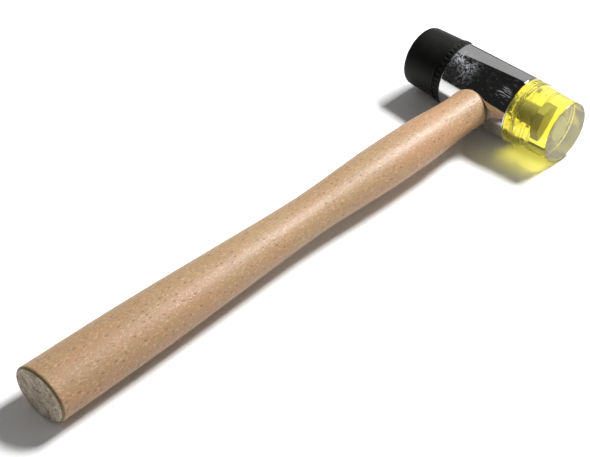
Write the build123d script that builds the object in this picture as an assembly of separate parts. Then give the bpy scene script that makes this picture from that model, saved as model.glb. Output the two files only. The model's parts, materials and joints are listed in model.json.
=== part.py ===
from build123d import *

# A two-faced soft mallet: a chromed steel head on an oval beech handle, with a clear yellow plastic
# striking face screwed into one end of the head and a black rubber face screwed into the other.
# Millimetres. Each part is built in the head's own frame: the origin is the head's centre, +X runs
# along the head to the plastic face, and the handle runs down -Y. At the end the whole mallet is laid
# on its side on z = 0, where it rests on the steel head and on the butt of the handle.

import os
from math import asin, cos, degrees, radians, sin

# Head: a steel bar, turned and chrome plated.
HEAD_RADIUS = 19.7
HEAD_LENGTH = 46.2
HEAD_EDGE = 0.5

# Eye: an oval hole across the head, narrowest part of the way through, so that a spread tenon locks.
# Each pair is the half width along the head and the half height.
EYE_ENTRY = (11.2, 9.8)
EYE_WAIST = (10.7, 9.3)
EYE_EXIT = (11.6, 10.2)
EYE_WAIST_Y = -3.0

# Bolt that holds each face: an M8 x 20 hexagon bolt moulded into the face, screwed into the head's end.
THREAD_RADIUS = 4.0
THREAD_CLEARANCE = 0.05
THREAD_REACH = 7.5
TAPPED_DEPTH = 9.0
THREAD_TIP = 0.8
BOLT_HEAD_ACROSS = 13.0
BOLT_HEAD_HEIGHT = 5.3
BOLT_HEAD_FROM_BASE = 12.5
BOLT_HEAD_TURN = -26.0
BOLT_HEAD_EDGE = 0.6

# Lock washer: a split ring on the bolt, in a recess in the base of the face.
WASHER_INNER = 4.1
WASHER_OUTER = 6.4
WASHER_THICKNESS = 1.5
WASHER_SLIT = 1.0
RECESS_CLEARANCE = 0.3
RECESS_DEPTH = 1.6

# Faces: a notched grip ring next to the head, with a groove, then a body that tapers to its end.
FACE_LENGTH = 28.5
FACE_RADIUS = 17.6
BODY_RADIUS = 18.6
RING_RADIUS = 19.15
RING_LENGTH = 6.2
RING_STEP = 0.4
RING_EDGE = 0.4
GROOVE_START = 4.6
GROOVE_WIDTH = 0.8
GROOVE_DEPTH = 0.5
NOTCH_COUNT = 40
NOTCH_WIDTH = 1.4
NOTCH_DEPTH = 0.35
NOTCH_LENGTH = 2.4
NOTCH_START = 1.6
PLASTIC_EDGE = 0.6
RUBBER_EDGE = 2.0

# Handle: half width along the head at each distance from the head's centre.
HANDLE_STATIONS = (
    (14.0, 12.0),
    (33.0, 11.6),
    (60.0, 13.2),
    (95.0, 13.5),
    (148.0, 12.0),
    (205.0, 13.9),
    (265.0, 16.2),
    (329.0, 17.3),
)
HANDLE_LENGTH, BUTT_HALF_WIDTH = HANDLE_STATIONS[-1]
# The oval flattens from the head to the butt: half height over half width at each end.
OVAL_AT_HEAD = 0.88
OVAL_AT_BUTT = 0.79
BUTT_EDGE = 1.0
TENON_END = 18.6

# Wedges that spread the tenon in the eye, driven in from its end.
WOOD_WEDGE_DEPTH = 25.0
WOOD_WEDGE_THICK = 4.0
WOOD_WEDGE_THIN = 0.8
STEEL_WEDGE_DEPTH = 15.0
STEEL_WEDGE_THICK = 2.2
STEEL_WEDGE_THIN = 0.5
STEEL_WEDGE_WIDTH = 12.5

BEYOND = 5.0  # how far a cutting shape runs past what it cuts

# Rest: the handle tips down from the head until the butt's underside meets the ground.
BUTT_HALF_HEIGHT = BUTT_HALF_WIDTH * OVAL_AT_BUTT
REST_TILT = degrees(asin((HEAD_RADIUS - BUTT_HALF_HEIGHT) / (HANDLE_LENGTH - BUTT_EDGE)))
# The middle of the mallet's length is on y = 0: the butt's end is one limit, the head's far side the other.
BUTT_REACH = HANDLE_LENGTH * cos(radians(REST_TILT)) + (BUTT_HALF_HEIGHT - BUTT_EDGE) * sin(radians(REST_TILT))
HEAD_Y = (BUTT_REACH - HEAD_RADIUS) / 2

STANDING = (Align.CENTER, Align.CENTER, Align.MIN)
HANGING = (Align.CENTER, Align.CENTER, Align.MAX)


def oval(y, half_width, half_height):
    """An oval across the handle at y."""
    return Plane.XZ.offset(-y) * Ellipse(half_width, half_height)


def flattening(distance):
    """Half height over half width of the handle at this distance from the head's centre."""
    return OVAL_AT_HEAD + (OVAL_AT_BUTT - OVAL_AT_HEAD) * distance / HANDLE_LENGTH


def head_bar(length):
    """A round bar along the head's axis."""
    return Rot(0, 90, 0) * Cylinder(HEAD_RADIUS, length)


def eye_plug():
    """The solid that fills the eye, and a little more at both ends."""
    reach = HEAD_RADIUS + BEYOND
    return loft(
        [oval(-reach, *EYE_ENTRY), oval(EYE_WAIST_Y, *EYE_WAIST), oval(reach, *EYE_EXIT)],
        ruled=True,
    )


def wedge(thick, thin, depth, width, thickness_plane):
    """A wedge driven down -Y from the tenon's end, thick at its driven end, drawn on thickness_plane."""
    end = TENON_END
    tip = TENON_END - depth
    profile = Polyline((-thick / 2, end), (thick / 2, end), (thin / 2, tip), (-thin / 2, tip), close=True)
    return extrude(thickness_plane * make_face(profile), width / 2, both=True)


def wooden_wedge_blank():
    """The wooden wedge lies along the eye's long axis and spreads the tenon up and down."""
    across = Plane(origin=(0, 0, 0), x_dir=(0, 0, 1), z_dir=(-1, 0, 0))
    return wedge(WOOD_WEDGE_THICK, WOOD_WEDGE_THIN, WOOD_WEDGE_DEPTH, HEAD_LENGTH, across) & eye_plug()


def make_steel_wedge():
    """The steel wedge crosses the wooden one and spreads the tenon along the head."""
    return wedge(STEEL_WEDGE_THICK, STEEL_WEDGE_THIN, STEEL_WEDGE_DEPTH, STEEL_WEDGE_WIDTH, Plane.XY)


def make_wooden_wedge():
    return wooden_wedge_blank() - make_steel_wedge()


def make_handle():
    """The oval grip and neck, coped to the head's round side, with the tenon that fills the eye."""
    grip = loft([oval(-d, w, w * flattening(d)) for d, w in HANDLE_STATIONS])
    butt = grip.faces().sort_by(Axis.Y)[0]
    grip = chamfer(butt.edges(), BUTT_EDGE)
    length = TENON_END + HEAD_RADIUS
    tenon_slab = Pos(0, TENON_END - length / 2, 0) * Box(HEAD_LENGTH, length, 2 * HEAD_RADIUS)
    tenon = eye_plug() & tenon_slab
    return (grip - head_bar(2 * HEAD_LENGTH)) + tenon - wooden_wedge_blank() - make_steel_wedge()


def make_head_body():
    """The steel bar with its eye, and a tapped hole in each end, whose thread is a plain cylinder here."""
    bar = head_bar(HEAD_LENGTH)
    bar = chamfer(bar.faces().filter_by(Axis.X).edges(), HEAD_EDGE)
    hole = Cylinder(THREAD_RADIUS + THREAD_CLEARANCE, TAPPED_DEPTH, align=HANGING)
    holes = [outward(side) * hole for side in (1, -1)]
    return bar - holes - eye_plug()


def outward(side):
    """The frame of a face: +Z runs out of the head along its axis, from the head's end on that side."""
    return Plane(origin=(side * HEAD_LENGTH / 2, 0, 0), x_dir=(0, side, 0), z_dir=(side, 0, 0))


def bolt_head_blank():
    """The turned blank that chamfers the corners of a bolt head at its top."""
    corner = BOLT_HEAD_ACROSS / 2 / cos(radians(30))
    blank = Cylinder(corner, BOLT_HEAD_HEIGHT, align=STANDING)
    return chamfer(blank.faces().sort_by(Axis.Z)[-1].edges(), BOLT_HEAD_EDGE, 2 * BOLT_HEAD_EDGE)


def make_bolt():
    """The hexagon bolt: its thread reaches into the head, below z = 0, and its head is inside the face."""
    shank = Cylinder(THREAD_RADIUS, THREAD_REACH + BOLT_HEAD_FROM_BASE, align=STANDING)
    shank = chamfer(shank.faces().sort_by(Axis.Z)[0].edges(), THREAD_TIP)
    outline = RegularPolygon(BOLT_HEAD_ACROSS / 2, 6, major_radius=False, rotation=BOLT_HEAD_TURN)
    hexagon = extrude(outline, BOLT_HEAD_HEIGHT)
    head = hexagon & bolt_head_blank()
    return Pos(0, 0, -THREAD_REACH) * shank + Pos(0, 0, BOLT_HEAD_FROM_BASE) * head


def make_lock_washer():
    """A split spring washer, pressed flat."""
    size = 2 * WASHER_OUTER
    ring = Cylinder(WASHER_OUTER, WASHER_THICKNESS) - Cylinder(WASHER_INNER, WASHER_THICKNESS)
    slit = Pos(size / 2, 0, 0) * Box(size, WASHER_SLIT, size)
    return Pos(0, 0, WASHER_THICKNESS / 2) * (ring - slit)


def face_profile(edge):
    """Half of a face's section, with X as the radius: grip ring, groove, step, taper, rounded end."""
    groove_radius = RING_RADIUS - GROOVE_DEPTH
    outline = Polyline(
        (0, 0),
        (RING_RADIUS - RING_EDGE, 0),
        (RING_RADIUS, RING_EDGE),
        (RING_RADIUS, GROOVE_START),
        (groove_radius, GROOVE_START + GROOVE_WIDTH / 2),
        (RING_RADIUS, GROOVE_START + GROOVE_WIDTH),
        (RING_RADIUS, RING_LENGTH),
        (BODY_RADIUS, RING_LENGTH + RING_STEP),
        (FACE_RADIUS, FACE_LENGTH),
        (0, FACE_LENGTH),
        close=True,
    )
    section = make_face(outline)
    rim = section.vertices().sort_by(Axis.Y)[-2:].sort_by(Axis.X)[-1]
    return fillet(rim, edge)


def make_face_cap(edge):
    """A striking face: turned outside, notched ring, washer recess, and the bolt's place moulded in."""
    cap = revolve(Plane.XZ * face_profile(edge), Axis.Z)
    notch = Box(2 * NOTCH_DEPTH, NOTCH_WIDTH, NOTCH_LENGTH, align=STANDING)
    notches = [Pos(0, 0, NOTCH_START) * place * notch for place in PolarLocations(RING_RADIUS, NOTCH_COUNT)]
    recess = Cylinder(WASHER_OUTER + RECESS_CLEARANCE, RECESS_DEPTH, align=STANDING)
    return cap - notches - recess - make_bolt()


def laid_down(part):
    """Turns a part from the head's frame to the mallet's rest on its side."""
    return Pos(0, HEAD_Y, HEAD_RADIUS) * Rot(REST_TILT, 0, 0) * part


def build():
    parts = {
        "head_body": make_head_body(),
        "handle": make_handle(),
        "wooden_wedge": make_wooden_wedge(),
        "steel_wedge": make_steel_wedge(),
    }
    for name, side, edge in (("yellow_face", 1, PLASTIC_EDGE), ("black_face", -1, RUBBER_EDGE)):
        parts[name] = outward(side) * make_face_cap(edge)
        parts[name + "_bolt"] = outward(side) * make_bolt()
        parts[name + "_lock_washer"] = outward(side) * make_lock_washer()
    return {name: laid_down(part) for name, part in parts.items()}


os.makedirs("parts", exist_ok=True)
for name, part in build().items():
    export_step(part, f"parts/{name}.step")
print("head centre y", round(HEAD_Y, 4), "tilt", round(REST_TILT, 4))
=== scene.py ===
import json
import math

import bmesh
import bpy
from mathutils import Matrix, Vector


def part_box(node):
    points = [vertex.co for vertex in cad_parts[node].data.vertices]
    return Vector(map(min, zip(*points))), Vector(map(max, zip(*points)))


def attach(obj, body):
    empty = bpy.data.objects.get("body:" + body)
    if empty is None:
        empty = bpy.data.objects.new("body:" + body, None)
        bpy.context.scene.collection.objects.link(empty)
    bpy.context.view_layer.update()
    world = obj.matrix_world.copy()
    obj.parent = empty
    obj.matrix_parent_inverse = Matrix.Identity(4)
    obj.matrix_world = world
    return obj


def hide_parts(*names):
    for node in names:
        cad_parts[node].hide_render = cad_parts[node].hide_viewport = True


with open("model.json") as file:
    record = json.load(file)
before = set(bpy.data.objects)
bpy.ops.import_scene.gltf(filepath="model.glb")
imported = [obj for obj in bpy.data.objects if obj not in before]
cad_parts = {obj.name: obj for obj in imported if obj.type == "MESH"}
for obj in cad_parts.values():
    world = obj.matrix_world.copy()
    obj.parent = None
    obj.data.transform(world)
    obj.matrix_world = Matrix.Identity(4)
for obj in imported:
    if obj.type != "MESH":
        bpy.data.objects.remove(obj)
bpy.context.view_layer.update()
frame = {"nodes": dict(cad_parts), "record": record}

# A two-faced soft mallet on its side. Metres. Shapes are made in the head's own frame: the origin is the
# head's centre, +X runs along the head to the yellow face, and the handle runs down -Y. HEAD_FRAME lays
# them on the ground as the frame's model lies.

MM = 0.001


# ---------------------------------------------------------------- sizes from the frame

def mount(name):
    """One of the record's mounts."""
    return next(m for m in frame["record"]["mounts"] if m["name"] == name)


FACE_PLACE = mount("plastic_striking_face")["pos_m"]
HEAD_CENTRE = Vector((0, FACE_PLACE[1], FACE_PLACE[2]))
HEAD_RADIUS = HEAD_CENTRE.z
HALF_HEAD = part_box("head_body")[1].x
FACE_LENGTH = FACE_PLACE[0] - HALF_HEAD
BUTT_CENTRE = Vector(mount("butt_end")["pos_m"])
HANDLE_LENGTH = (BUTT_CENTRE - HEAD_CENTRE).length
REST_TILT = math.asin(-mount("butt_end")["axis"][2])
HEAD_FRAME = Matrix.Translation(HEAD_CENTRE) @ Matrix.Rotation(REST_TILT, 4, "X")

# Head
HEAD_EDGE = 0.5 * MM
HEAD_SEGMENTS = 720
EYE_ENTRY = (11.2 * MM, 9.8 * MM)
EYE_WAIST = (10.7 * MM, 9.3 * MM)
EYE_EXIT = (11.6 * MM, 10.2 * MM)
EYE_WAIST_Y = -3.0 * MM
EYE_REACH = HEAD_RADIUS + 5.0 * MM
EYE_CLEARANCE = 0.05 * MM
TAPPED_DEPTH = 9.0 * MM
TAPPED_MOUTH = 0.5 * MM

# M8 thread and the bolt's hexagon head
THREAD_PITCH = 1.25 * MM
THREAD_MAJOR = 3.97 * MM
THREAD_MINOR = 3.30 * MM
THREAD_GAP = 0.06 * MM
THREAD_REACH = 7.5 * MM
THREAD_STEP = THREAD_PITCH / 10
THREAD_SEGMENTS = 72
BOLT_HEAD_ACROSS = 13.0 * MM
BOLT_HEAD_HEIGHT = 5.3 * MM
BOLT_HEAD_FROM_BASE = 12.5 * MM
BOLT_TURN = math.radians(-26)

# Faces
RING_RADIUS = 19.15 * MM
BODY_RADIUS = 18.6 * MM
FACE_RADIUS = 17.6 * MM
NOTCHES = 40
NOTCH_DEPTH = 0.35 * MM
# Where a notch starts, is full, starts to end and ends: mm from the face's base, and shares of its pitch
NOTCH_ALONG = (1.5, 1.8, 3.8, 4.1)
NOTCH_ACROSS = (0.22, 0.32, 0.68, 0.78)
WASHER_RECESS = (6.7 * MM, 1.6 * MM)
# How far the cavity stays inside the bolt's surface, so that the material meets the bolt with no gap
CAVITY_SLACK = 0.06 * MM

# Handle: its half width at each distance from the head's centre, in mm, and how flat its oval is
HANDLE_STATIONS = (
    (14.0, 12.0),
    (33.0, 11.6),
    (60.0, 13.2),
    (95.0, 13.5),
    (148.0, 12.0),
    (205.0, 13.9),
    (265.0, 16.2),
    (329.0, 17.3),
)
OVAL_AT_HEAD = 0.88
OVAL_AT_BUTT = 0.79
GRIP_START_Y = -14 * MM
SHOULDER = 1.6 * MM
# The rounded edge and flat of the butt: how far in from the side, and back from the end, in mm
BUTT_ROUNDING = ((0.0, 1.3), (0.03, 1.0), (0.45, 0.45), (0.8, 0.12), (1.0, 0), (1.6, 0), (5.0, 0), (9.0, 0))
TENON_END = 18.6 * MM
# Wedges: thickness at the driven end and at the tip, depth, half width
WOOD_WEDGE = (4.0 * MM, 0.8 * MM, 25.0 * MM, 13.0 * MM)
STEEL_WEDGE = (2.2 * MM, 0.5 * MM, 15.0 * MM, 6.25 * MM)


# ---------------------------------------------------------------- mesh helpers

def add_mesh(name, verts, faces, matrix, smooth_angle=None):
    """A mesh object from points in its own frame, placed by matrix."""
    mesh = bpy.data.meshes.new(name)
    mesh.from_pydata(verts, [], faces)
    mesh.validate()
    mesh.transform(matrix)
    bm = bmesh.new()
    bm.from_mesh(mesh)
    bmesh.ops.remove_doubles(bm, verts=bm.verts, dist=1e-7)
    bmesh.ops.recalc_face_normals(bm, faces=bm.faces)
    bm.to_mesh(mesh)
    bm.free()
    obj = bpy.data.objects.new(name, mesh)
    bpy.context.scene.collection.objects.link(obj)
    shade(obj, smooth_angle)
    return obj


def shade(obj, smooth_angle):
    """Smooth shading, with edges sharper than smooth_angle kept sharp."""
    mesh = obj.data
    mesh.polygons.foreach_set("use_smooth", [True] * len(mesh.polygons))
    if smooth_angle is not None:
        mesh.set_sharp_from_angle(angle=smooth_angle)
    mesh.update()


class Rings:
    """A closed surface of rings of points, each joined to the one before. A ring may be a single point."""

    def __init__(self, segments):
        self.segments = segments
        self.verts = []
        self.rows = []

    def point(self, place):
        self.rows.append([len(self.verts)])
        self.verts.append(place)

    def ring(self, place_at):
        """A ring of points, from place_at(angle)."""
        first = len(self.verts)
        self.verts += [place_at(2 * math.pi * k / self.segments) for k in range(self.segments)]
        self.rows.append(range(first, first + self.segments))

    def faces(self):
        faces = []
        for low, high in zip(self.rows, self.rows[1:]):
            for k in range(self.segments):
                n = (k + 1) % self.segments
                if len(low) == 1:
                    faces.append((low[0], high[n], high[k]))
                elif len(high) == 1:
                    faces.append((low[k], low[n], high[0]))
                else:
                    faces.append((low[k], low[n], high[n], high[k]))
        return faces


def lathe(profile, segments, radius_at=None):
    """Rings of a closed turned shape about Z. profile is (z, radius), from one end's centre to the other.
    radius_at(z, radius, angle) may change the radius."""
    rings = Rings(segments)
    for z, radius in profile:
        if radius == 0:
            rings.point((0, 0, z))
            continue

        def place(angle):
            r = radius_at(z, radius, angle) if radius_at else radius
            return r * math.cos(angle), r * math.sin(angle), z

        rings.ring(place)
    return rings


def arc(centre, radius, start, end, steps):
    """Points (z, r) on an arc, with angles in degrees from +z towards +r."""
    points = []
    for k in range(steps + 1):
        a = math.radians(start + (end - start) * k / steps)
        points.append((centre[0] + radius * math.cos(a), centre[1] + radius * math.sin(a)))
    return points


def spaced(start, end, step):
    """Evenly spaced numbers from start to end, about a step apart, both ends in."""
    count = max(1, round(abs(end - start) / step))
    return [start + (end - start) * k / count for k in range(count + 1)]


def smoothstep(low, high, x):
    t = min(1, max(0, (x - low) / (high - low)))
    return t * t * (3 - 2 * t)


def plateau(limits, x):
    """Rises from 0 to 1 over the first two limits, and falls back over the last two."""
    start, full, fall, end = limits
    return smoothstep(start, full, x) * (1 - smoothstep(fall, end, x))


def subtract(obj, cutters, smooth_angle):
    """Cuts other meshes out of obj and removes them."""
    for cutter in cutters:
        cut = obj.modifiers.new("cut", "BOOLEAN")
        cut.operation = "DIFFERENCE"
        cut.solver = "EXACT"
        cut.object = cutter
    graph = bpy.context.evaluated_depsgraph_get()
    bpy.context.view_layer.update()
    mesh = bpy.data.meshes.new_from_object(obj.evaluated_get(graph))
    obj.modifiers.clear()
    obj.data = mesh
    for cutter in cutters:
        bpy.data.objects.remove(cutter)
    shade(obj, smooth_angle)


def outward(side):
    """The frame of a face: +Z runs out of the head along its axis, from the head's end on that side."""
    axes = Matrix(((0, 0, side), (side, 0, 0), (0, 1, 0)))
    return HEAD_FRAME @ Matrix.Translation((side * HALF_HEAD, 0, 0)) @ axes.to_4x4()


# ---------------------------------------------------------------- thread, bolt and head

def thread_radius(z, angle, minor, major):
    """Radius of a right-hand M8 thread about +Z, with small flats on its crests and roots."""
    phase = (z / THREAD_PITCH - angle / (2 * math.pi)) % 1
    ramp = abs(2 * phase - 1)
    height = min(1, max(0, (ramp - 0.12) / 0.68))
    return minor + (major - minor) * height


def bolt_profile():
    """(z, radius) of the thread from its tip to the underside of the hexagon head."""
    tip = -THREAD_REACH
    points = [(tip, 0), (tip, THREAD_MINOR - 0.3 * MM), (tip + 0.3 * MM, THREAD_MINOR)]
    points += [(z, THREAD_MAJOR) for z in spaced(tip + 0.35 * MM, BOLT_HEAD_FROM_BASE, THREAD_STEP)]
    points.append((BOLT_HEAD_FROM_BASE, 0))
    return points


def bolt_radius(z, radius, angle):
    """The thread, fading to its root over the bolt's tip."""
    if radius < THREAD_MAJOR:
        return radius
    full = thread_radius(z, angle, THREAD_MINOR, THREAD_MAJOR)
    lead = smoothstep(-THREAD_REACH + 0.2 * MM, -THREAD_REACH + 1.6 * MM, z)
    return THREAD_MINOR + (full - THREAD_MINOR) * lead


def hexagon_rows(across, low, high, edge):
    """Rows of a hexagon head: (z, corner radius limit) pairs, with a domed chamfer at its outer end."""
    corner = across / 2 / math.cos(math.radians(30))
    return [
        (low, corner),
        (low + 0.15 * MM, corner),
        (high - edge, corner),
        (high - 0.6 * edge, corner - 0.35 * edge),
        (high - 0.25 * edge, corner - 1.0 * edge),
        (high, corner - 1.9 * edge),
    ]


def hexagon_radius(across, angle):
    """Distance from the centre to a hexagon's side at this angle, with corners eased a little."""
    turn = math.radians(60)
    a = (angle + turn / 2) % turn - turn / 2
    flat = across / 2 / math.cos(a)
    return min(flat, across / 2 / math.cos(math.radians(30)) - 0.12 * MM)


def hexagon_head(across, low, high, edge, segments):
    rings = Rings(segments)
    rings.point((0, 0, low))
    for z, limit in hexagon_rows(across, low, high, edge):

        def place(angle):
            r = min(hexagon_radius(across, angle - BOLT_TURN), limit)
            return r * math.cos(angle), r * math.sin(angle), z

        rings.ring(place)
    rings.point((0, 0, high))
    return rings


def make_bolt(name, side):
    thread = lathe(bolt_profile(), THREAD_SEGMENTS, bolt_radius)
    top = BOLT_HEAD_FROM_BASE + BOLT_HEAD_HEIGHT
    hexagon = hexagon_head(BOLT_HEAD_ACROSS, BOLT_HEAD_FROM_BASE - 0.02 * MM, top, 0.6 * MM, 144)
    verts = thread.verts + hexagon.verts
    faces = thread.faces() + [tuple(i + len(thread.verts) for i in f) for f in hexagon.faces()]
    return add_mesh(name, verts, faces, outward(side), math.radians(40))


def oval_solid(stations, segments):
    """Rings of a closed solid through ovals across Y. stations is (y, half width, half height)."""
    rings = Rings(segments)
    rings.point((0, stations[0][0], 0))
    for y, width, height in stations:
        rings.ring(lambda angle: (width * math.cos(angle), y, height * math.sin(angle)))
    rings.point((0, stations[-1][0], 0))
    return rings


def eye_size(y):
    """Half width and half height of the eye at y."""
    end, at = (EYE_ENTRY, -EYE_REACH) if y < EYE_WAIST_Y else (EYE_EXIT, EYE_REACH)
    t = (y - EYE_WAIST_Y) / (at - EYE_WAIST_Y)
    return tuple(w + (e - w) * t for w, e in zip(EYE_WAIST, end))


def make_head():
    edge = HEAD_EDGE
    profile = [(-HALF_HEAD, 0), (-HALF_HEAD, HEAD_RADIUS - edge)]
    profile += arc((-HALF_HEAD + edge, HEAD_RADIUS - edge), edge, 180, 90, 5)[1:]
    profile += arc((HALF_HEAD - edge, HEAD_RADIUS - edge), edge, 90, 0, 5)
    profile += [(HALF_HEAD, 0)]
    bar = lathe(profile, HEAD_SEGMENTS)
    along_x = Matrix.Rotation(math.radians(90), 4, "Y")
    head = add_mesh("chrome_head", bar.verts, bar.faces(), HEAD_FRAME @ along_x, math.radians(30))
    stations = [(y, *eye_size(y)) for y in (-EYE_REACH, EYE_WAIST_Y, EYE_REACH)]
    eye = oval_solid(stations, 256)
    cutters = [add_mesh("eye_cut", eye.verts, eye.faces(), HEAD_FRAME), tapped_hole(1), tapped_hole(-1)]
    subtract(head, cutters, math.radians(30))
    return head


def tapped_hole(side):
    """The cutting shape of a tapped hole, in step with its bolt's thread."""
    def radius_at(z, radius, angle):
        if radius < THREAD_MAJOR:
            return radius
        full = thread_radius(z, angle, THREAD_MINOR + THREAD_GAP, THREAD_MAJOR + THREAD_GAP)
        mouth = THREAD_MAJOR + THREAD_GAP + TAPPED_MOUTH + z
        return max(full, mouth)

    profile = [(-TAPPED_DEPTH, 0), (-TAPPED_DEPTH, THREAD_MINOR)]
    along = spaced(-TAPPED_DEPTH + 0.1 * MM, TAPPED_MOUTH, THREAD_STEP)
    profile += [(z, THREAD_MAJOR + THREAD_GAP) for z in along]
    profile.append((TAPPED_MOUTH, 0))
    hole = lathe(profile, THREAD_SEGMENTS, radius_at)
    return add_mesh("tapped_cut", hole.verts, hole.faces(), outward(side))


# ---------------------------------------------------------------- striking faces

def notch_depth(z, angle):
    """How deep the grip ring's notches are here."""
    turn = (angle * NOTCHES / (2 * math.pi)) % 1
    return NOTCH_DEPTH * plateau(NOTCH_ALONG, z / MM) * plateau(NOTCH_ACROSS, turn)


def ring_radius(z, radius, angle):
    if z > 4.2 * MM or radius < RING_RADIUS - 0.01 * MM:
        return radius
    return radius - notch_depth(z, angle)


def face_outline(edge, steps):
    """(z, radius) of a face's outside, from the rim of its base to the rim of its end."""
    ring = RING_RADIUS
    points = [(0.0, ring - 0.8 * MM)]
    points += arc((0.4 * MM, ring - 0.4 * MM), 0.4 * MM, 180, 90, 5)
    notched = (0.9, 1.3, 1.5, 1.57, 1.65, 1.73, 1.8, 2.2, 2.8, 3.4, 3.8, 3.87, 3.95, 4.03, 4.1, 4.35)
    points += [(z * MM, ring) for z in notched]
    points += arc((4.6 * MM, ring - 0.15 * MM), 0.15 * MM, 90, 30, 3)
    points += arc((5.0 * MM, ring - 0.22 * MM), 0.28 * MM, 210, 330, 8)
    points += arc((5.4 * MM, ring - 0.15 * MM), 0.15 * MM, 150, 90, 3)
    points += arc((6.0 * MM, ring - 0.2 * MM), 0.2 * MM, 90, 20, 4)
    points += arc((6.5 * MM, BODY_RADIUS + 0.25 * MM), 0.25 * MM, 200, 268, 6)
    body_start = 6.6 * MM
    taper = FACE_RADIUS - BODY_RADIUS
    for z in spaced(7.2 * MM, FACE_LENGTH - edge - 0.4 * MM, 2.0 * MM):
        points.append((z, BODY_RADIUS + taper * (z - body_start) / (FACE_LENGTH - body_start)))
    points += arc((FACE_LENGTH - edge, FACE_RADIUS - edge), edge, 90, 0, steps)
    points.append((FACE_LENGTH, FACE_RADIUS - edge - 0.3 * MM))
    return points


def make_face(name, side, edge, steps, base_gap):
    """A striking face, hollow round its bolt and washer. base_gap is how far it stands off the head."""
    hidden = THREAD_MINOR - CAVITY_SLACK
    top = BOLT_HEAD_FROM_BASE + BOLT_HEAD_HEIGHT - CAVITY_SLACK
    under = BOLT_HEAD_FROM_BASE + CAVITY_SLACK
    recess, depth = WASHER_RECESS
    rings = Rings(NOTCHES * 12)

    def add_ring(z, radius, radius_at=None):
        def place(angle):
            r = radius_at(z, radius, angle) if radius_at else radius
            return r * math.cos(angle), r * math.sin(angle), z

        rings.ring(place)

    def hexagon(z, radius, angle):
        return min(hexagon_radius(BOLT_HEAD_ACROSS - 2 * CAVITY_SLACK, angle - BOLT_TURN), radius)

    # The end's middle, out and round to the base, then in by the recess and the bolt to the cavity's top
    rings.point((0, 0, FACE_LENGTH))
    for share in (0.25, 0.5, 0.75, 0.95):
        add_ring(FACE_LENGTH, (FACE_RADIUS - edge - 0.3 * MM) * share)
    for z, radius in reversed(face_outline(edge, steps)):
        add_ring(z if z > 0 else base_gap, radius, ring_radius)
    for z, radius in (
        (base_gap, recess + 3 * MM),
        (base_gap, recess + 0.2 * MM),
        (base_gap + 0.2 * MM, recess),
        (depth - 0.15 * MM, recess),
        (depth, recess - 0.15 * MM),
        (depth, hidden + 0.3 * MM),
        (depth, hidden),
        (under, hidden),
    ):
        add_ring(z, radius)
    add_ring(under, BOLT_HEAD_ACROSS, hexagon)
    add_ring(top - 0.6 * MM, BOLT_HEAD_ACROSS, hexagon)
    add_ring(top, BOLT_HEAD_ACROSS / 2 - 0.6 * MM)
    rings.point((0, 0, top))
    return add_mesh(name, rings.verts, rings.faces(), outward(side), math.radians(50))


# ---------------------------------------------------------------- handle

def handle_half_width(distance):
    """Half width of the grip, by a smooth curve through its stations."""
    points = [(d * MM, w * MM) for d, w in HANDLE_STATIONS]
    for (x0, y0), (x1, y1), k in zip(points, points[1:], range(len(points))):
        if distance <= x1 or k == len(points) - 2:
            before = points[max(0, k - 1)]
            after = points[min(len(points) - 1, k + 2)]
            slope0 = (y1 - before[1]) / (x1 - before[0])
            slope1 = (after[1] - y0) / (after[0] - x0)
            h = x1 - x0
            t = (distance - x0) / h
            a = (1 + 2 * t) * (1 - t) ** 2
            b = t * (1 - t) ** 2
            c = t * t * (3 - 2 * t)
            d = t * t * (t - 1)
            return a * y0 + b * h * slope0 + c * y1 + d * h * slope1


def grip_size(distance):
    flat = OVAL_AT_HEAD + (OVAL_AT_BUTT - OVAL_AT_HEAD) * distance / HANDLE_LENGTH
    width = handle_half_width(distance)
    return width, width * flat


def handle_point(y, angle):
    """A point on the handle's side: the tenon in the head, the grip outside, and a round shoulder between."""
    in_eye = [s - EYE_CLEARANCE for s in eye_size(y)]
    if y > GRIP_START_Y:
        width, height = in_eye
    else:
        grip = grip_size(-y)
        z = grip[1] * math.sin(angle)
        clear = math.hypot(y, z) - HEAD_RADIUS
        share = min(1, max(0, (clear - EYE_CLEARANCE) / SHOULDER))
        share = math.sqrt(1 - (1 - share) ** 2)
        width, height = (e + (g - e) * share for e, g in zip(in_eye, grip))
    return width * math.cos(angle), y, height * math.sin(angle)


def wedge_cut(thick, thin, depth, half_width, along_head):
    """A wedge's place in the tenon, run a little past its end. A wedge along the head spreads it in Z."""
    past = 1.0 * MM
    slope = (thick - thin) / depth
    verts = []
    for y, t in ((TENON_END - depth, thin), (TENON_END + past, thick + slope * past)):
        for a, b in ((-1, -1), (1, -1), (1, 1), (-1, 1)):
            wide, spread = a * half_width, b * t / 2
            verts.append((wide, y, spread) if along_head else (spread, y, wide))
    faces = [(0, 1, 2, 3), (7, 6, 5, 4)] + [(k, k + 4, (k + 1) % 4 + 4, (k + 1) % 4) for k in range(4)]
    return add_mesh("wedge_cut", verts, faces, HEAD_FRAME)


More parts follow.
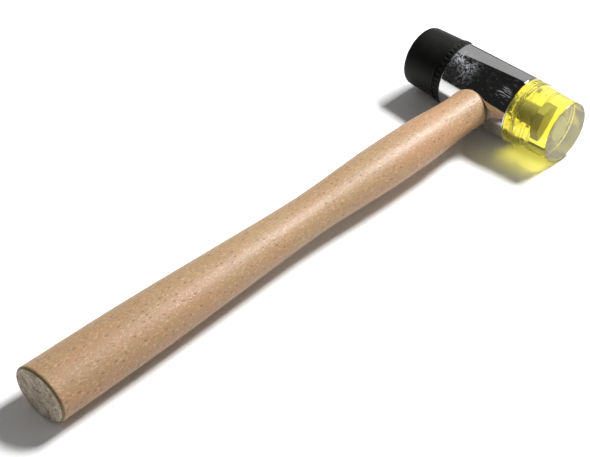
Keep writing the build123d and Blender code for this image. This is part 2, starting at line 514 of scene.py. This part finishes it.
def make_handle():
    rings = Rings(192)
    butt = -HANDLE_LENGTH
    ys = [TENON_END]
    ys += spaced(TENON_END - 0.4 * MM, GRIP_START_Y, 2 * MM)
    ys += spaced(GRIP_START_Y - 0.2 * MM, -23 * MM, 0.2 * MM)
    ys += spaced(-24 * MM, butt + 2 * MM, 2.5 * MM)

    def tenon_end(angle, share):
        x, y, z = handle_point(TENON_END, angle)
        return x * share, y, z * share

    rings.point((0, TENON_END, 0))
    for share in (0.35, 0.7):
        rings.ring(lambda angle: tenon_end(angle, share))
    for y in ys:
        rings.ring(lambda angle: handle_point(y, angle))
    width, height = grip_size(HANDLE_LENGTH)
    for inset, back in BUTT_ROUNDING:
        w, h, y = width - inset * MM, height - inset * MM, butt + back * MM
        rings.ring(lambda angle: (w * math.cos(angle), y, h * math.sin(angle)))
    rings.point((0, butt, 0))
    handle = add_mesh("beech_handle", rings.verts, rings.faces(), HEAD_FRAME, math.radians(50))
    subtract(handle, [wedge_cut(*WOOD_WEDGE, True), wedge_cut(*STEEL_WEDGE, False)], math.radians(50))
    return handle


# ---------------------------------------------------------------- materials

class Nodes:
    """Short calls for building a node material."""

    def __init__(self, name):
        self.material = bpy.data.materials.new(name)
        self.material.use_nodes = True
        self.tree = self.material.node_tree
        self.tree.nodes.clear()
        self.out = self.add("ShaderNodeOutputMaterial")
        self.coords = self.add("ShaderNodeTexCoord").outputs["Object"]

    def add(self, kind, inputs=None, **settings):
        node = self.tree.nodes.new(kind)
        for key, value in settings.items():
            setattr(node, key, value)
        for key, value in (inputs or {}).items():
            self.put(node.inputs[key], value)
        return node

    def put(self, socket, value):
        if isinstance(value, bpy.types.NodeSocket):
            self.tree.links.new(value, socket)
        else:
            socket.default_value = value

    def scaled(self, scale, turn=(0, 0, 0), move=(0, 0, 0)):
        """The object's coordinates, scaled."""
        inputs = {"Vector": self.coords, "Scale": scale, "Rotation": turn, "Location": move}
        return self.add("ShaderNodeMapping", inputs).outputs["Vector"]

    def noise(self, vector, scale, detail=3.0, rough=0.5, distortion=0.0):
        node = self.add("ShaderNodeTexNoise", {"Vector": vector, "Scale": scale, "Detail": detail,
                                               "Roughness": rough, "Distortion": distortion})
        return node.outputs["Fac"]

    def ramp(self, value, stops, interpolation="LINEAR"):
        """Maps a value to colours or greys at stops (position, colour)."""
        node = self.add("ShaderNodeValToRGB", {"Fac": value})
        node.color_ramp.interpolation = interpolation
        elements = node.color_ramp.elements
        while len(elements) < len(stops):
            elements.new(0.5)
        for element, (position, colour) in zip(elements, stops):
            element.position = position
            element.color = (*([colour] * 3 if isinstance(colour, (int, float)) else colour), 1)
        return node.outputs["Color"]

    def math(self, operation, a, b):
        return self.add("ShaderNodeMath", {0: a, 1: b}, operation=operation).outputs[0]

    def mix(self, factor, base, colour):
        """The base's colour, turned to another by factor. Sockets 6, 7 and 2 are the node's colour ones."""
        node = self.add("ShaderNodeMix", {"Factor": factor, 6: base, 7: (*colour, 1)}, data_type="RGBA")
        return node.outputs[2]

    def bump(self, height, distance, strength=1.0):
        inputs = {"Height": height, "Distance": distance, "Strength": strength}
        return self.add("ShaderNodeBump", inputs).outputs["Normal"]

    def principled(self, inputs):
        return self.add("ShaderNodeBsdfPrincipled", inputs).outputs["BSDF"]

    def near(self, place, reach):
        """1 at a place on the head's side, fading to 0 at reach from it. place is the distance along the head
        and the angle round it from +Y, in degrees."""
        x, angle = place[0], math.radians(place[1])
        centre = HEAD_FRAME @ Vector((x, HEAD_RADIUS * math.cos(angle), HEAD_RADIUS * math.sin(angle)))
        away = self.add("ShaderNodeVectorMath", {0: self.coords, 1: centre}, operation="DISTANCE")
        share = self.math("DIVIDE", away.outputs["Value"], reach)
        return self.ramp(share, [(0.35, 1.0), (1.0, 0.0)], "EASE")

    def blend(self, factor, a, b):
        """Shader a, turned to b by factor."""
        return self.add("ShaderNodeMixShader", {0: factor, 1: a, 2: b}).outputs["Shader"]

    def finish(self, shader):
        self.tree.links.new(shader, self.out.inputs["Surface"])
        return self.material


def chrome():
    """Chrome plate: a clear mirror, with cloudy handling marks and fine scratches."""
    n = Nodes("chrome_plate")
    cloud = n.noise(n.scaled((1, 1, 1)), 620, 6, 0.78, 0.4)
    patch = n.noise(n.scaled((1, 1, 1), move=(0.31, 0.17, 0.05)), 90, 3, 0.55, 0.5)
    patch = n.ramp(patch, [(0.40, 0.15), (0.58, 1.0)])
    handled = n.near((-0.0165, 128), 0.015)
    stain = n.math("MULTIPLY", n.ramp(cloud, [(0.46, 0.0), (0.57, 1.0)]), n.math("MULTIPLY", patch, handled))
    faint = n.math("MULTIPLY", n.ramp(cloud, [(0.57, 0.0), (0.66, 0.3)]), patch)
    scratch = n.noise(n.scaled((150, 1500, 1500), (0, 0.45, 0.3)), 1.0, 3, 0.6)
    scratch = n.math("MULTIPLY", n.ramp(scratch, [(0.53, 0.0), (0.60, 1.0)]), n.near((0.0170, 132), 0.0060))
    worn = n.math("MAXIMUM", n.math("MAXIMUM", stain, faint), scratch)
    rough = n.math("ADD", n.math("MULTIPLY", worn, 0.40), 0.05)
    normal = n.bump(cloud, 0.00002, 0.15)
    metal = n.principled({"Base Color": (0.60, 0.60, 0.595, 1), "Metallic": 1.0, "Roughness": rough,
                          "Normal": normal})
    film = n.principled({"Base Color": (0.52, 0.54, 0.58, 1), "Roughness": 0.6})
    return n.finish(n.blend(n.math("MULTIPLY", worn, 0.62), metal, film))


def zinc_steel():
    n = Nodes("bright_zinc")
    tone = n.noise(n.scaled((1, 1, 1)), 700, 4, 0.6)
    colour = n.ramp(tone, [(0.3, (0.50, 0.50, 0.48)), (0.7, (0.68, 0.67, 0.64))])
    rough = n.math("ADD", n.math("MULTIPLY", tone, 0.2), 0.32)
    normal = n.bump(tone, 0.00003, 0.4)
    metal = n.principled({"Base Color": colour, "Metallic": 1.0, "Roughness": rough, "Normal": normal})
    dull = n.principled({"Base Color": (0.45, 0.45, 0.43, 1), "Roughness": 0.6, "Normal": normal})
    return n.finish(n.blend(0.5, metal, dull))


def plain_steel():
    n = Nodes("plain_steel")
    tone = n.noise(n.scaled((1, 0.2, 1)), 900, 4, 0.6)
    colour = n.ramp(tone, [(0.3, (0.18, 0.17, 0.16)), (0.7, (0.36, 0.35, 0.34))])
    rough = n.math("ADD", n.math("MULTIPLY", tone, 0.3), 0.35)
    normal = n.bump(tone, 0.00006, 0.6)
    steel = n.principled({"Base Color": colour, "Metallic": 1.0, "Roughness": rough, "Normal": normal})
    return n.finish(steel)


def yellow_plastic():
    """Clear yellow plastic: coloured through its depth, a little cloudy, with light scuffs."""
    n = Nodes("clear_yellow_plastic")
    ripple = n.noise(n.scaled((1, 1, 0.4)), 90, 2, 0.4)
    normal = n.bump(ripple, 0.0002, 0.12)
    scuff = n.ramp(n.noise(n.scaled((1, 1, 1)), 420, 5, 0.65), [(0.55, 0.0), (0.75, 0.10)])
    along = n.add("ShaderNodeSeparateXYZ", {"Vector": n.coords}).outputs["X"]
    ring = n.math("LESS_THAN", along, HALF_HEAD + 6.3 * MM)
    rough = n.math("ADD", scuff, n.math("ADD", n.math("MULTIPLY", ring, 0.05), 0.03))
    glass = n.principled({"Base Color": (0.90, 0.87, 0.40, 1), "Roughness": rough, "IOR": 1.49,
                          "Transmission Weight": 0.88, "Normal": normal})
    volume = n.add("ShaderNodeVolumeAbsorption", {"Color": (0.92, 0.87, 0.03, 1), "Density": 58.0})
    n.tree.links.new(volume.outputs["Volume"], n.out.inputs["Volume"])
    return n.finish(glass)


def black_rubber():
    n = Nodes("black_rubber")
    fine = n.noise(n.scaled((1, 1, 1)), 2600, 3, 0.6)
    cloud = n.noise(n.scaled((1, 1, 1)), 120, 4, 0.6)
    colour = n.ramp(cloud, [(0.3, (0.0045, 0.0045, 0.004)), (0.75, (0.010, 0.010, 0.009))])
    rough = n.math("ADD", n.math("MULTIPLY", cloud, 0.2), 0.42)
    normal = n.bump(fine, 0.00005, 0.5)
    rubber = n.principled({"Base Color": colour, "Roughness": rough, "Specular IOR Level": 0.12,
                           "Normal": normal})
    return n.finish(rubber)


def beech():
    """Lacquered beech, speckled with small pores and ray flecks. The grain runs along Y."""
    n = Nodes("lacquered_beech")
    broad = n.noise(n.scaled((1, 0.3, 1)), 45, 4, 0.6, 0.5)
    base = n.ramp(broad, [(0.36, (0.367, 0.252, 0.135)), (0.50, (0.357, 0.234, 0.126)),
                          (0.64, (0.404, 0.23, 0.126))])
    grain = n.noise(n.scaled((1, 0.12, 1)), 420, 5, 0.7)
    base = n.mix(n.ramp(grain, [(0.44, 0.0), (0.70, 0.45)]), base, (0.395, 0.225, 0.117))
    speckle = n.noise(n.scaled((1, 0.55, 1)), 1250, 4, 0.75)
    base = n.mix(n.ramp(speckle, [(0.48, 0.0), (0.64, 0.75)]), base, (0.31, 0.171, 0.09))
    light = n.noise(n.scaled((1, 0.5, 1), move=(0, 0, 0.4)), 1000, 4, 0.7)
    base = n.mix(n.ramp(light, [(0.52, 0.0), (0.68, 0.7)]), base, (0.602, 0.414, 0.252))
    fleck = n.add("ShaderNodeTexVoronoi", {"Vector": n.scaled((1, 0.45, 1)), "Scale": 560.0})
    fleck_mask = n.ramp(fleck.outputs["Distance"], [(0.16, 1.0), (0.36, 0.0)])
    chosen = n.ramp(fleck.outputs["Color"], [(0.50, 0.0), (0.70, 1.0)])
    fleck_mask = n.math("MULTIPLY", fleck_mask, chosen)
    base = n.mix(n.math("MULTIPLY", fleck_mask, 0.6), base, (0.18, 0.09, 0.05))
    along = n.add("ShaderNodeSeparateXYZ", {"Vector": n.coords}).outputs["Y"]
    edge = n.math("MULTIPLY", n.math("SUBTRACT", along, BUTT_CENTRE.y), 1 / (2.2 * MM))
    edge = n.math("ADD", edge, n.math("MULTIPLY", n.math("SUBTRACT", grain, 0.5), 1.2))
    base = n.mix(n.ramp(edge, [(0.30, 0.75), (0.90, 0.0)]), base, (0.15, 0.12, 0.05))
    height = n.math("SUBTRACT", speckle, n.math("MULTIPLY", fleck_mask, 0.6))
    normal = n.bump(height, 0.00018, 0.8)
    coat = n.bump(height, 0.00012, 0.9)
    wood = n.principled({"Base Color": base, "Roughness": 0.5, "Specular IOR Level": 0.3, "Normal": normal,
                         "Coat Weight": 0.08, "Coat Roughness": 0.11, "Coat Normal": coat})
    return n.finish(wood)


def end_grain():
    """Bare sawn end grain: pale and rough, with brown marks."""
    n = Nodes("bare_end_grain")
    cloud = n.noise(n.scaled((1, 1, 1), move=(0.07, 0, 0.03)), 150, 5, 0.72, 0.8)
    colour = n.ramp(cloud, [(0.38, (0.66, 0.58, 0.47)), (0.50, (0.50, 0.41, 0.30)),
                            (0.62, (0.26, 0.17, 0.11))])
    pores = n.noise(n.scaled((1, 1, 1)), 1100, 4, 0.75)
    colour = n.mix(n.ramp(pores, [(0.50, 0.0), (0.66, 0.75)]), colour, (0.84, 0.78, 0.68))
    dark = n.noise(n.scaled((1, 1, 1), move=(0, 0, 0.2)), 1300, 4, 0.75)
    colour = n.mix(n.ramp(dark, [(0.54, 0.0), (0.68, 0.8)]), colour, (0.12, 0.08, 0.05))
    normal = n.bump(n.math("ADD", cloud, pores), 0.00035, 0.8)
    return n.finish(n.principled({"Base Color": colour, "Roughness": 0.85, "Normal": normal}))


def wedge_wood():
    n = Nodes("wedge_wood")
    grain = n.noise(n.scaled((1, 0.08, 1)), 900, 4, 0.6)
    colour = n.ramp(grain, [(0.35, (0.30, 0.17, 0.09)), (0.65, (0.46, 0.29, 0.16))])
    normal = n.bump(grain, 0.0001, 0.7)
    return n.finish(n.principled({"Base Color": colour, "Roughness": 0.75, "Normal": normal}))


def floor_paper():
    n = Nodes("pale_floor")
    tone = n.noise(n.scaled((1, 1, 1)), 40, 2, 0.5)
    colour = n.ramp(tone, [(0.3, 0.93), (0.7, 0.95)])
    return n.finish(n.principled({"Base Color": colour, "Roughness": 0.6, "Specular IOR Level": 0.2}))


def dress(obj, *materials):
    obj.data.materials.clear()
    for material in materials:
        obj.data.materials.append(material)


# ---------------------------------------------------------------- pieces

head = make_head()
dress(head, chrome())
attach(head, "head")
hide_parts("head_body")

handle = make_handle()
dress(handle, beech(), end_grain())
for polygon in handle.data.polygons:
    y = (HEAD_FRAME.inverted() @ polygon.center).y
    if y < -HANDLE_LENGTH + 0.05 * MM or y > TENON_END - 0.05 * MM:
        polygon.material_index = 1
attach(handle, "head")
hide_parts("handle")

zinc = zinc_steel()
for name, side, edge, steps, gap, material, slot in (
    ("yellow", 1, 0.6 * MM, 6, 0.1 * MM, yellow_plastic(), "yellow_plastic"),
    ("black", -1, 2.0 * MM, 12, 0.02 * MM, black_rubber(), "black_rubber"),
):
    cap = make_face(name + "_striking_face", side, edge, steps, gap)
    dress(cap, material)
    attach(cap, name + "_face_unit")
    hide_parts(name + "_face")
    bolt = make_bolt(name + "_threaded_bolt", side)
    dress(bolt, zinc)
    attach(bolt, name + "_face_unit")
    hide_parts(name + "_face_bolt")
    dress(frame["nodes"][name + "_face_lock_washer"], zinc)

dress(frame["nodes"]["wooden_wedge"], wedge_wood())
dress(frame["nodes"]["steel_wedge"], plain_steel())


# ---------------------------------------------------------------- floor, light and camera

def add_floor():
    mesh = bpy.data.meshes.new("floor")
    corners = ((-4.0, -4.0, 0), (4.0, -4.0, 0), (4.0, 4.0, 0), (-4.0, 4.0, 0))
    mesh.from_pydata(corners, [], [(0, 1, 2, 3)])
    floor = bpy.data.objects.new("floor", mesh)
    bpy.context.scene.collection.objects.link(floor)
    dress(floor, floor_paper())


def add_light(name, direction, distance, size, power, glossy=True):
    """An area light in this direction from the head, facing it."""
    data = bpy.data.lights.new(name, "AREA")
    data.shape = "RECTANGLE"
    data.size, data.size_y = size
    data.energy = power
    light = bpy.data.objects.new(name, data)
    bpy.context.scene.collection.objects.link(light)
    away = Vector(direction).normalized()
    light.location = HEAD_CENTRE + away * distance
    light.rotation_euler = away.to_track_quat("Z", "Y").to_euler()
    light.visible_camera = False
    light.visible_glossy = glossy


def sky(azimuth, elevation):
    """A direction: azimuth in degrees from +Y towards +X, and elevation above the floor."""
    a, e = math.radians(azimuth), math.radians(elevation)
    return math.sin(a) * math.cos(e), math.cos(a) * math.cos(e), math.sin(e)


add_floor()
add_light("key", sky(9, 53), 1.5, (0.50, 0.34), 47)
add_light("side", sky(62, 36), 2.0, (1.4, 1.2), 5, glossy=False)
add_light("fill", sky(195, 48), 2.0, (2.2, 2.0), 6, glossy=False)
add_light("backdrop", sky(-48, 28), 2.0, (2.4, 1.6), 6)

world = bpy.data.worlds.new("studio")
world.use_nodes = True
# A dim room lights the mallet, and a pale backdrop shows beyond the floor's edge.
room = world.node_tree.nodes["Background"]
room.inputs["Color"].default_value = (1.0, 0.99, 0.96, 1)
room.inputs["Strength"].default_value = 0.02
seen = world.node_tree.nodes.new("ShaderNodeBackground")
seen.inputs["Color"].default_value = (1.0, 1.0, 1.0, 1)
seen.inputs["Strength"].default_value = 1.0
path = world.node_tree.nodes.new("ShaderNodeLightPath")
either = world.node_tree.nodes.new("ShaderNodeMixShader")
world.node_tree.links.new(path.outputs["Is Camera Ray"], either.inputs[0])
world.node_tree.links.new(room.outputs[0], either.inputs[1])
world.node_tree.links.new(seen.outputs[0], either.inputs[2])
world.node_tree.links.new(either.outputs[0], world.node_tree.nodes["World Output"].inputs["Surface"])
bpy.context.scene.world = world
bpy.context.scene.view_settings.view_transform = "Standard"

camera_data = bpy.data.cameras.new("camera")
camera_data.lens = 109.5
camera_data.sensor_width = 36
camera_data.shift_x = -0.0030
camera_data.shift_y = 0.0013
camera = bpy.data.objects.new("camera", camera_data)
bpy.context.scene.collection.objects.link(camera)
camera.location = (0.4769, -0.5207, 0.6094)
CAMERA_LOOK = Vector((-0.51688, 0.56097, -0.64665))
CAMERA_UP = Vector((-0.46329, 0.45190, 0.76233))
back = -CAMERA_LOOK.normalized()
right = CAMERA_UP.cross(back).normalized()
up = back.cross(right)
camera.rotation_euler = Matrix((right, up, back)).transposed().to_euler()
bpy.context.scene.camera = camera
